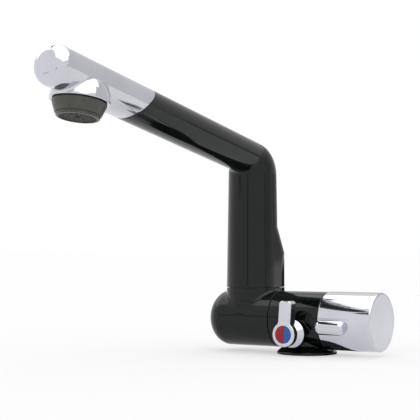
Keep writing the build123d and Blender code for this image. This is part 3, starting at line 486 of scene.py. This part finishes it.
# Tapering stem, its back moved out by the reach: the length of (across / radius, height past the
# straight part / height of the dome) less 1, times the radius.
def stemField(p, footR, topR, domeHeight, swell=1.0):
    z = p[..., 2]
    over = np.clip((z - spout["straightTop"]) / domeHeight, 0, None)
    y = p[..., 1]
    across = np.hypot(p[..., 0] - stemX, y - np.clip(y, 0, swell * stemReach(z)))
    share = np.clip((z - spout["bottom"]) / (spout["straightTop"] - spout["bottom"]), 0, 1)
    radius = footR + share * (topR - footR)
    return radius * (np.hypot(across / radius, over) - 1)


# Arm: distance from its axis less its radius, cut off square at the elbow.
def armField(p, radius):
    q = p - elbow
    along, up = q @ armAlong, q @ armUp
    return np.maximum(np.hypot(q[..., 0], up) - radius, -along)


# Stem and arm joined by a fillet that fades out towards the top of the arm.
def spoutField(p):
    up = (p - elbow) @ armUp
    fade = smoothStep(spout["fadeFrom"], spout["fadeTo"], up)
    fillet = spout["filletLeast"] + (spout["fillet"] - spout["filletLeast"]) * fade
    stem = stemField(p, spout["footR"], spout["topR"], spout["domeHeight"])
    return roundUnion(stem, armField(p, spout["armR"]), fillet)


# Hollow of the spout: the nearer of a straight bore in the stem and one in the arm.
def innerField(p):
    stem = stemField(p, spout["bore"], spout["bore"], spout["domeHeight"] - spout["wall"], swell=0.0)
    return np.minimum(stem, armField(p, spout["armBore"]))


# Ring centres and directions: up the stem, then a fan about the pivot to square across the arm.
# The fan's reach goes evenly from the stem's axis to the arm's, and out by bendOut*sin(pi*t) between.
def spoutPath(stemRows, bendRows, centreY):
    pivot = np.array([stemX, spout["pivotY"], spout["pivotZ"]])
    z = np.append(stemRows, spout["pivotZ"])
    stemCentres = np.stack([np.full(z.shape, stemX), centreY(z), z], -1)
    turn = np.linspace(0, pi / 2 - spout["rise"], bendRows)[1:]
    out = np.stack([0 * turn, np.cos(turn), np.sin(turn)], -1)
    armGap = (elbow - pivot) @ armUp
    t = turn / turn[-1]
    reach = (1 - t) * -spout["pivotY"] + t * armGap + spout["bendOut"] * np.sin(pi * t)
    bendCentres = pivot + reach[:, None] * out
    centres = np.vstack([stemCentres, bendCentres])
    v = np.vstack([np.tile([0, 1.0, 0], (len(z), 1)), out])
    u = np.tile([1.0, 0, 0], (len(centres), 1))
    return centres, u, v


# Rows along the arm from the last ring of the elbow to the slanting cut: start + share*(end - start).
def armRows(ring, radius, count, lead=0.0):
    q = ring - elbow
    turn = np.arctan2(q @ armUp, q[:, 0])
    across = radius * (np.cos(turn)[:, None] * np.array([1.0, 0, 0]) + np.sin(turn)[:, None] * armUp)
    end = spout["cutAt"] - cutHalfGap - lead - spout["cutSlope"] * (across @ armUp)
    start = q @ armAlong
    along = start + np.linspace(0, 1, count)[1:, None] * (end - start)
    return elbow + across + along[..., None] * armAlong


# Foot of each point on the arm's axis.
def onArmAxis(p):
    return elbow + ((p - elbow) @ armAlong)[:, None] * armAlong


spoutTurns = np.linspace(0, 2 * pi, spoutCounts["around"] + 1)
stemLevels = np.concatenate([[spout["bottom"] + spout["edge"]]] + [np.linspace(*run) for run in stemRuns])
centres, u, v = spoutPath(stemLevels, spoutCounts["bend"], lambda z: stemReach(z) / 2)
outer = castRings(centres, u, v, spoutTurns, spoutField)
armOuter = armRows(outer[-1], spout["armR"], spoutCounts["arm"], lead=spout["cutEdge"])
armRim = rimRows(armOuter[-1], onArmAxis(armOuter[-1]), armAlong, spout["cutEdge"])
stemRim = rimRows(outer[0], centres[0], (0, 0, -1), spout["edge"])
innerLevels = np.linspace(spout["bottom"], spout["innerTop"], spoutCounts["innerStem"])
innerPath = spoutPath(innerLevels, spoutCounts["innerBend"], lambda z: 0 * z)
inner = castRings(*innerPath, spoutTurns, innerField)
armInner = armRows(inner[-1], spout["armBore"], spoutCounts["innerArm"])
down = np.array([0, 0, -spout["lipDepth"]])
lipRing = inner[0] + spout["lipShare"] * (stemRim[-1] - inner[0])
lip = np.stack([inner[0], inner[0] + down, lipRing + down, lipRing])
shell = np.concatenate([lip, stemRim[::-1], outer, armOuter, armRim, armInner[::-1], inner[::-1]])
addPiece("spoutShell", [shell], "spout", "black", "spout_shell")

# Nozzle head: a tube with a round nose, and a domed skirt over the outlet, sharing their meeting line
nozzle = {"outletAt": 203.3, "endAt": 237.5, "endFillet": 7.5, "skirtR": 18.4, "skirtDrop": 14.1,
          "edge": 0.35, "thread": 15.2, "threadTop": 9.6, "bore": 10.2, "boreEnd": 182.0, "fillet": 1.2,
          "support": 0.12, "poleStep": 0.1}
nozzleCounts = {"hole": 97, "rest": 97, "nose": 22, "pole": 8}
outletAt = elbow + armAlong * nozzle["outletAt"]


# Point from its place across, along and above the arm's axis, each a number or an array.
def armPoint(x, along, up):
    x, along, up = (np.asarray(part, float)[..., None] for part in (x, along, up))
    return elbow + x * np.array([1.0, 0, 0]) + along * armAlong + up * armUp


# Ball whose upper half is the skirt: distance from its centre, under the outlet, less its radius.
def skirtField(p):
    q = p - outletAt
    up = q @ armUp + nozzle["skirtDrop"]
    return np.sqrt(q[..., 0] ** 2 + (q @ armAlong) ** 2 + up ** 2) - nozzle["skirtR"]


# Tube: distance from the arm's axis less its radius, and at its end the distance past the fillet's ring.
def noseField(p):
    q = p - elbow
    along = q @ armAlong
    across = np.hypot(q[..., 0], q @ armUp)
    r = nozzle["endFillet"]
    a = np.maximum(across - (spout["armR"] - r), 0)
    b = np.maximum(along - (nozzle["endAt"] - r), 0)
    return np.where(b > 0, np.hypot(a, b) - r, across - spout["armR"])


# Tube and skirt joined by a fillet.
def headField(p):
    return roundUnion(noseField(p), skirtField(p), nozzle["fillet"])


# Meeting line on the tube: half width of the ball at each angle from straight down
ballR, drop, tubeR = nozzle["skirtR"], nozzle["skirtDrop"], spout["armR"]
lastTurn = np.arccos((drop ** 2 + tubeR ** 2 - ballR ** 2) / (2 * drop * tubeR))
holeTurn = lastTurn * np.sin(np.linspace(-pi / 2, pi / 2, nozzleCounts["hole"]))
restTurn = np.linspace(lastTurn, 2 * pi - lastTurn, nozzleCounts["rest"])[1:]
tubeTurn = np.concatenate([holeTurn, restTurn])
halfWidth = np.sqrt(np.maximum(ballR ** 2 - drop ** 2 - tubeR ** 2 + 2 * drop * tubeR * np.cos(tubeTurn), 0))
halfWidth[len(holeTurn):] = 0
halfWidth[[0, len(holeTurn) - 1]] = 0

# Tube behind the outlet up to the cut, and in front of it up to the round nose
tubeX, tubeUp = tubeR * np.sin(tubeTurn), -tubeR * np.cos(tubeTurn)
tubeShare = closeShares(0.006, 0.3, 1, 14, 30)[:, None]
rearEnd = spout["cutAt"] + cutHalfGap + spout["cutEdge"] - spout["cutSlope"] * tubeUp
rearAlong = nozzle["outletAt"] - halfWidth
rear = armPoint(tubeX, rearAlong + tubeShare * (rearEnd - rearAlong), tubeUp)
frontEnd = nozzle["endAt"] - nozzle["endFillet"] - nozzle["support"]
frontAlong = nozzle["outletAt"] + halfWidth
front = armPoint(tubeX, frontAlong + tubeShare * (frontEnd - frontAlong), tubeUp)
noseTurn = np.linspace(0, pi / 2, nozzleCounts["nose"])
noseR = np.append(tubeR - nozzle["endFillet"] * (1 - np.cos(noseTurn)),
                  np.linspace(tubeR - nozzle["endFillet"] - nozzle["poleStep"], 0, nozzleCounts["pole"]))
noseAlong = np.append(nozzle["endAt"] - nozzle["endFillet"] * (1 - np.sin(noseTurn)),
                      np.full(nozzleCounts["pole"], nozzle["endAt"]))
nose = armPoint(noseR[:, None] * np.sin(tubeTurn), noseAlong[:, None], -noseR[:, None] * np.cos(tubeTurn))
rearRim = rimRows(rear[-1], onArmAxis(rear[-1]), -armAlong, spout["cutEdge"])
boreX, boreUp = nozzle["bore"] * np.sin(tubeTurn), -nozzle["bore"] * np.cos(tubeTurn)
boreRows = np.stack([armPoint(boreX, rearEnd - spout["cutEdge"], boreUp),
                     armPoint(boreX, nozzle["boreEnd"], boreUp), armPoint(0 * boreX, nozzle["boreEnd"], 0)])

# Skirt from the meeting line down to its rim, as rows of latitude on the ball
meeting = np.concatenate([front[0][:len(holeTurn)], rear[0][:len(holeTurn)][::-1]])
q = meeting - outletAt
ballTurn = np.arctan2(q[:, 0], q @ armAlong)
ballTilt = np.arcsin(np.clip((q @ armUp + drop) / ballR, -1, 1))
tilt = ballTilt + closeShares(0.01, 0.35, 1, 12, 18)[:, None] * (nozzle["edge"] / ballR - ballTilt)


# Points at a radius about the outlet's axis, at the meeting line's angles.
def outletRing(radius, up):
    return armPoint(radius * np.sin(ballTurn), nozzle["outletAt"] + radius * np.cos(ballTurn), up)


skirtBand = outletRing(ballR * np.cos(tilt), ballR * np.sin(tilt) - drop)
rimCentre = outletAt - armUp * (drop - nozzle["edge"])
skirtRim = rimRows(skirtBand[-1], rimCentre, -armUp, nozzle["edge"])
skirtInner = np.stack([outletRing(radius, -low) for low, radius in (
    (drop, nozzle["thread"]), (nozzle["threadTop"], nozzle["thread"]), (nozzle["threadTop"], 0.0))])
settled = [settle(g, headField) for g in (rear, front, skirtBand)]
settled[0][-1], settled[1][-1], settled[2][-1] = rear[-1], front[-1], skirtBand[-1]
addPiece("nozzleHead", [
    settled[0], np.concatenate([rear[-1:], rearRim, boreRows]),
    np.concatenate([settled[1], nose]),
    np.concatenate([settled[2], skirtRim, skirtInner]),
], "spout", "chrome", "nozzle_head")

# Aerator: a threaded ring and the drum in it, counted down the outlet's axis
outletAxis = (tuple(outletAt), tuple(-armUp), (1, 0, 0))
ring = {"top": 9.6, "hole": 13.4, "threadR": 15.2, "ledge": 14.4, "ledgeR": 16.85, "waist": 15.9,
        "waistR": 16.4, "foot": 22.0, "footR": 14.1, "ledgeEdge": 0.6, "footEdge": 0.3}
drum = {"top": 10.6, "hole": 9.5, "radius": 13.3, "foot": 24.0, "dishR": 11.4, "dishTop": 22.9,
        "topEdge": 0.2, "footEdge": 0.8, "dishEdge": 0.15}
addPiece("aeratorHousing", [revolved([
    (ring["top"], ring["hole"], 0), (ring["top"], ring["threadR"], 0), (ring["ledge"], ring["threadR"], 0),
    (ring["ledge"], ring["ledgeR"], ring["ledgeEdge"]), (ring["waist"], ring["waistR"], ring["ledgeEdge"]),
    (ring["foot"], ring["footR"], ring["footEdge"]), (ring["foot"], ring["hole"], 0),
    (ring["top"], ring["hole"], 0)], outletAxis, step=0.6)], "spout", "grey_plastic", "aerator_housing")
addPiece("aeratorInsert", [revolved([
    (drum["top"], drum["hole"], 0), (drum["top"], drum["radius"], drum["topEdge"]),
    (drum["foot"], drum["radius"], drum["footEdge"]), (drum["foot"], drum["dishR"], drum["dishEdge"]),
    (drum["dishTop"], drum["dishR"], 0), (drum["dishTop"], drum["hole"], 0),
    (drum["top"], drum["hole"], 0)], outletAxis, step=0.6)], "spout", "grey_plastic", "aerator_insert")

# Flow knob: a cup over the barrel's right end
knob = {"left": 18.75, "right": 58.2, "radius": 20.4, "bore": 17.9, "edge": 1.2, "seamEdge": 0.4,
        "endWall": 2.5, "lipEdge": 0.2, "floorEdge": 0.5}
knobFloor = knob["right"] - knob["endWall"]
addPiece("flowKnob", [revolved([
    (knob["right"], 0, 0), (knob["right"], knob["radius"], knob["edge"]),
    (knob["left"], knob["radius"], knob["seamEdge"]), (knob["left"], knob["bore"], knob["lipEdge"]),
    (knobFloor, knob["bore"], knob["floorEdge"]), (knobFloor, 0, 0)], barrelAxis, around=192)],
    "knob", "chrome", "flow_knob")

# Grip: a round bar along the knob; what lies nearer than "sink" to the knob's axis is moved out to it
grip = {"radius": 5.1, "y": -21.5, "z": 20.3, "start": 18.9, "end": 40.2, "edge": 3.2, "sink": 20.2}
gripGrid = revolved([(grip["start"], 0, 0), (grip["start"], grip["radius"], grip["edge"]),
                     (grip["end"], grip["radius"], grip["edge"]), (grip["end"], 0, 0)],
                    ((0, grip["y"], grip["z"]), (1, 0, 0), (0, 1, 0)))
fromAxis = np.hypot(gripGrid[..., 1], gripGrid[..., 2] - barrelZ)
lift = np.maximum(grip["sink"] / fromAxis, 1)
gripGrid[..., 1] *= lift
gripGrid[..., 2] = barrelZ + (gripGrid[..., 2] - barrelZ) * lift
addPiece("knobGrip", [gripGrid], "knob", "chrome", "knob_grip")

# Temperature lever: one outline for disc and bar, carried back from a rounded front.
# Distances are in front of the barrel's axis; a row of the bar is (inset, distance).
lever = {"discR": 8.5, "barHalf": 4.65, "barReach": 23.1, "corner": 2.6, "front": 34.6, "discBack": 29.8,
         "backInset": 0.25, "edge": 0.7, "support": 0.15, "root": 1.0, "dotR": 6.2, "dotDepth": 1.2,
         "hubR": 5.6, "hubHole": 3.0, "hubBack": 24.3, "hubFront": 30.4, "hubEdge": 0.2, "lean": radians(4),
         "barRows": ((0.0, 31.0), (0.0, 29.0), (0.0, 27.3), (0.04, 27.15), (0.15, 27.0), (0.3, 26.88),
                     (0.5, 26.8))}
leverCounts = {"outline": 300, "edge": 9, "face": 14, "side": 6, "bar": 160}


# Upright bar with round corners: distance past a rectangle drawn in by the corner, less the corner.
def barField(x, z):
    dx = np.abs(x) - (lever["barHalf"] - lever["corner"])
    dz = np.maximum(z - (lever["barReach"] - lever["corner"]), lever["corner"] - z)
    past = np.hypot(np.maximum(dx, 0), np.maximum(dz, 0))
    return past + np.minimum(np.maximum(dx, dz), 0) - lever["corner"]


# Bar and disc joined by a fillet at the bar's root.
def leverField(x, z):
    return roundUnion(barField(x, z), np.hypot(x, z) - lever["discR"], lever["root"])


# Where rays from a centre on the middle line of the lever meet the field, drawn in by the inset.
def outline(field, inset, turn, centreZ=0.0, reach=40.0):
    run = lastInside(np.zeros(turn.shape), np.full(turn.shape, reach),
                     lambda length: field(length * np.sin(turn), centreZ + length * np.cos(turn)) < -inset)
    return np.stack([run * np.sin(turn), centreZ + run * np.cos(turn)], -1)


# Ray angles that land evenly along the outline.
def evenTurns(field, count, centreZ=0.0, fineCount=4000):
    fine = np.linspace(0, 2 * pi, fineCount + 1)
    line = outline(field, 0, fine, centreZ)
    run = np.concatenate([[0], np.cumsum(np.linalg.norm(np.diff(line, axis=0), axis=1))])
    return np.interp(np.linspace(0, run[-1], count + 1), run, fine)


# A flat line of the lever at a distance in front of the barrel's axis, turned by the lever's lean.
def leverRing(line, front):
    x = line[:, 0] * cos(lever["lean"]) + line[:, 1] * sin(lever["lean"])
    z = leverZ - line[:, 0] * sin(lever["lean"]) + line[:, 1] * cos(lever["lean"])
    return np.stack([x, np.full(len(line), -front), z], -1)


leverTurns = evenTurns(leverField, leverCounts["outline"])
fronts = [leverRing(outline(leverField, lever["edge"] * (1 - cos(a)), leverTurns),
                    lever["front"] - lever["edge"] * (1 - sin(a)))
          for a in np.linspace(0, pi / 2, leverCounts["edge"])[::-1]]
dotLine = lever["dotR"] * np.stack([np.sin(leverTurns), np.cos(leverTurns)], -1)
dotTop = leverRing(dotLine, lever["front"])
face = dotTop + np.linspace(0, 1, leverCounts["face"])[:, None, None] * (fronts[0] - dotTop)
pit = [leverRing(dotLine * share, lever["front"] - lever["dotDepth"]) for share in (0.0, 1.0)]
sideLine = outline(leverField, 0, leverTurns)
sides = [leverRing(sideLine, y) for y in np.linspace(lever["front"] - lever["edge"] - lever["support"],
                                                     lever["discBack"], leverCounts["side"])]
backs = [leverRing(outline(leverField, lever["backInset"], leverTurns), lever["discBack"]),
         leverRing(0 * sideLine, lever["discBack"])]
barMiddle = lever["barReach"] / 2
barTurns = evenTurns(barField, leverCounts["bar"], barMiddle)
barRows = [leverRing(outline(barField, inset, barTurns, barMiddle), y) for inset, y in lever["barRows"]]
barPole = 0 * barTurns[:, None] + np.array([0, barMiddle])
barEnds = [leverRing(barPole, lever["barRows"][i][1]) for i in (0, -1)]
addPiece("mixingLever", [
    np.stack([*pit, *face, *fronts[1:], *sides, *backs]),
    np.stack([barEnds[0], *barRows, barEnds[1]]),
    revolved(collarCorners(lever["hubBack"], lever["hubFront"], lever["hubHole"], lever["hubR"],
                           startEdge=lever["hubEdge"]), leverAxis, around=96),
], "lever", "chrome", "mixing_lever", sharp=30)

# Red and blue halves of the lever's mark; a row is (share of the outline, distance in front)
dot = {"radius": 6.1, "gap": 0.04, "middle": 2.5, "arcCount": 65, "chordCount": 33,
       "rows": ((0, 33.45), (1.0, 33.45), (1.0, 34.2), (0.995, 34.3), (0.98, 34.38), (0.95, 34.42),
                (0.9, 34.44), (0.7, 34.5), (0.5, 34.55), (0.25, 34.58), (0, 34.59))}


# Half disc with a slightly crowned face: rows shrink from its outline to its middle, centre + share*line.
def addHalfDot(name, side, slot, node):
    r = dot["radius"]
    turn = np.linspace(-pi / 2, pi / 2, dot["arcCount"])
    arc = np.stack([side * np.maximum(r * np.cos(turn), dot["gap"]), r * np.sin(turn)], -1)
    down = np.linspace(r, -r, dot["chordCount"])[1:]
    line = np.vstack([arc, np.stack([np.full(down.shape, side * dot["gap"]), down], -1)])
    centre = np.array([side * dot["middle"], 0])
    rows = [leverRing(centre + share * (line - centre), y) for share, y in dot["rows"]]
    addPiece(name, [np.stack(rows)], "lever", slot, node, sharp=50)


addHalfDot("hotDot", -1, "hot_red", "hot_dot")
addHalfDot("coldDot", 1, "cold_blue", "cold_dot")

# Chrome ring between the housing's boss and the lever
bezel = {"back": 21.5, "hole": 7.3, "radius": 9.8, "rim": 22.7, "front": 26.0, "frontR": 6.5,
         "frontHole": 5.9, "ledge": 24.1, "backEdge": 0.15, "rimEdge": 0.5, "frontEdge": 0.25,
         "holeEdge": 0.1}
addPiece("leverBezel", [revolved([
    (bezel["back"], bezel["hole"], 0), (bezel["back"], bezel["radius"], bezel["backEdge"]),
    (bezel["rim"], bezel["radius"], bezel["rimEdge"]), (bezel["front"], bezel["frontR"], bezel["frontEdge"]),
    (bezel["front"], bezel["frontHole"], bezel["holeEdge"]), (bezel["ledge"], bezel["frontHole"], 0),
    (bezel["ledge"], bezel["hole"], 0), (bezel["back"], bezel["hole"], 0)], leverAxis, step=0.5)],
    "base", "chrome", "lever_bezel")
print("outer pieces done")

# Studio: a pale floor that runs far out, and cards that only gloss sees, as (name, level, corners).
# The cards give the chrome and the lacquer their light and dark bands and don't light the object.
scene = bpy.context.scene
studio = {"room": 0.85, "floorHalf": 6000, "floorZ": -0.2, "floorColour": "#C8C8C8", "floorGlow": 0.5,
          "shadeX": 8, "shadeY": 12, "shadeR": 31, "shadeZ": -0.1, "shadeCorners": 32}
shadeTurns = np.linspace(0, 2 * pi, studio["shadeCorners"] + 1)[:-1]
studioCards = [
    ("softboxAbove", 2.1, [(-2600, -850, 1250), (900, -850, 1250), (900, 800, 1250), (-2600, 800, 1250)]),
    ("softboxInFront", 2.0, [(-500, -1750, 1250), (2200, -1750, 1250), (2200, 400, 1250), (900, 400, 1250),
                             (900, -850, 1250), (-500, -850, 1250)]),
    ("flagAbove", 0.02, [(-700, -380, 1240), (-650, -400, 1240), (-660, -836, 1240), (-645, -836, 1240),
                         (-616, -650, 1240), (-589, -406, 1240), (-584, -323, 1240), (-578, 190, 1240),
                         (-700, 190, 1240)]),
    ("paleCardBehind", 0.75, [(2300, 300, 60), (2300, 300, 1600), (-1500, 2600, 1600), (-1500, 2600, 240),
                              (880, 1159, 240), (880, 1159, 60)]),
    ("darkCardBehind", 0.45, [(880, 1159, 60), (880, 1159, 240), (-1500, 2600, 240), (-1500, 2600, 60)]),
    ("darkFloorBehind", 0.04, [(-120, 230, -0.1), (120, 230, -0.1), (2230, 5000, -0.1), (-1500, 5000, -0.1)]),
    ("lineInFront", 0.6, [(-864, -1804, 236), (-1286, -1532, 236), (-1286, -1532, 397), (-864, -1804, 397)]),
    ("stripInFront", 0.5, [(242, -1472, 0), (87, -1494, 0), (87, -1494, 300), (242, -1472, 300)]),
    ("stripOnRight", 0.55, [(1453, 92, 0), (1455, -65, 0), (1455, -65, 300), (1453, 92, 300)]),
    # Painted shade: a dark strip on the floor beside the knob, which only gloss sees
    ("shadeBesideKnob", 0.15, [(106, 16, -0.1), (113, 25, -0.1), (155, 75, -0.1), (213, 146, -0.1),
                              (96, 38, -0.1), (84, 16, -0.1), (78, 6, -0.1)]),
    ("shadeUnderBarrel", 0.02, [(studio["shadeX"] + studio["shadeR"] * cos(a),
                                 studio["shadeY"] + studio["shadeR"] * sin(a), studio["shadeZ"])
                                for a in shadeTurns]),
]
white = (1, 1, 1, 1)


# A flat polygon through the corners.
def addStage(name, corners, material):
    mesh = bpy.data.meshes.new(name)
    mesh.from_pydata([tuple(np.array(c) * metre) for c in corners], [], [tuple(range(len(corners)))])
    mesh.materials.append(material)
    thing = bpy.data.objects.new(name, mesh)
    scene.collection.objects.link(thing)


# 1 for rays that see the backdrop directly, in gloss or through glass.
def seenRay(material):
    path = addNode(material, "ShaderNodeLightPath")
    first = addNode(material, "ShaderNodeMath", {
        0: path.outputs["Is Camera Ray"], 1: path.outputs["Is Glossy Ray"]}, operation="MAXIMUM")
    return addNode(material, "ShaderNodeMath", {
        0: first.outputs[0], 1: path.outputs["Is Transmission Ray"]}, operation="MAXIMUM").outputs[0]


# Mixes two shaders by a factor and leads the result to the output.
def mixOut(owner, factor, first, second, output="ShaderNodeOutputMaterial"):
    mix = addNode(owner, "ShaderNodeMixShader", {0: factor, 1: first.outputs[0], 2: second.outputs[0]})
    addNode(owner, output, {"Surface": mix.outputs[0]})


# A card at its own level for glossy rays and clear for all others.
def addCard(name, level, corners):
    card = emptied(bpy.data.materials.new(name))
    path = addNode(card, "ShaderNodeLightPath")
    clear = addNode(card, "ShaderNodeBsdfTransparent")
    seen = addNode(card, "ShaderNodeEmission", {"Color": white, "Strength": level})
    mixOut(card, path.outputs["Is Glossy Ray"], clear, seen)
    addStage(name, corners, card)


# Matt paper for the floor, which glows only for the rays that see it directly
paper = emptied(bpy.data.materials.new("paperSweep"))
matte = addNode(paper, "ShaderNodeBsdfDiffuse", {"Color": colour(studio["floorColour"])})
glow = addNode(paper, "ShaderNodeEmission", {"Color": white, "Strength": studio["floorGlow"]})
seenGlow = addNode(paper, "ShaderNodeMixShader", {0: seenRay(paper), 2: glow.outputs[0]})
both = addNode(paper, "ShaderNodeAddShader", {0: matte.outputs[0], 1: seenGlow.outputs[0]})
addNode(paper, "ShaderNodeOutputMaterial", {"Surface": both.outputs[0]})
far, low = studio["floorHalf"], studio["floorZ"]
addStage("floor", [(-far, -far, low), (far, -far, low), (far, far, low), (-far, far, low)], paper)
for card in studioCards:
    addCard(*card)

# The room lights the object evenly, and is white where it is seen directly
world = emptied(bpy.data.worlds.new("softRoom"))
scene.world = world
light = addNode(world, "ShaderNodeBackground", {"Color": white, "Strength": studio["room"]})
backdrop = addNode(world, "ShaderNodeBackground", {"Color": white, "Strength": 1.0})
mixOut(world, seenRay(world), light, backdrop, "ShaderNodeOutputWorld")
print("studio", len(studioCards), "cards")

# Camera where the photograph was taken from, in mm; the heading lies in the deck's plane
view = {"lens": 107.143, "sensor": 36.0, "eye": (415.81, -785.30, 79.98), "heading": (-0.5346, 0.8451),
        "up": radians(1.38), "near": 0.01, "far": 50.0}
camera = bpy.data.cameras.new("camera")
camera.lens, camera.sensor_width = view["lens"], view["sensor"]
camera.clip_start, camera.clip_end = view["near"], view["far"]
eye = bpy.data.objects.new("camera", camera)
scene.collection.objects.link(eye)
eye.location = Vector(view["eye"]) * metre
look = Vector((view["heading"][0] * cos(view["up"]), view["heading"][1] * cos(view["up"]), sin(view["up"])))
eye.rotation_euler = look.to_track_quat("-Z", "Y").to_euler()
scene.camera = eye

scene.view_settings.view_transform = "Standard"
print("scene done")
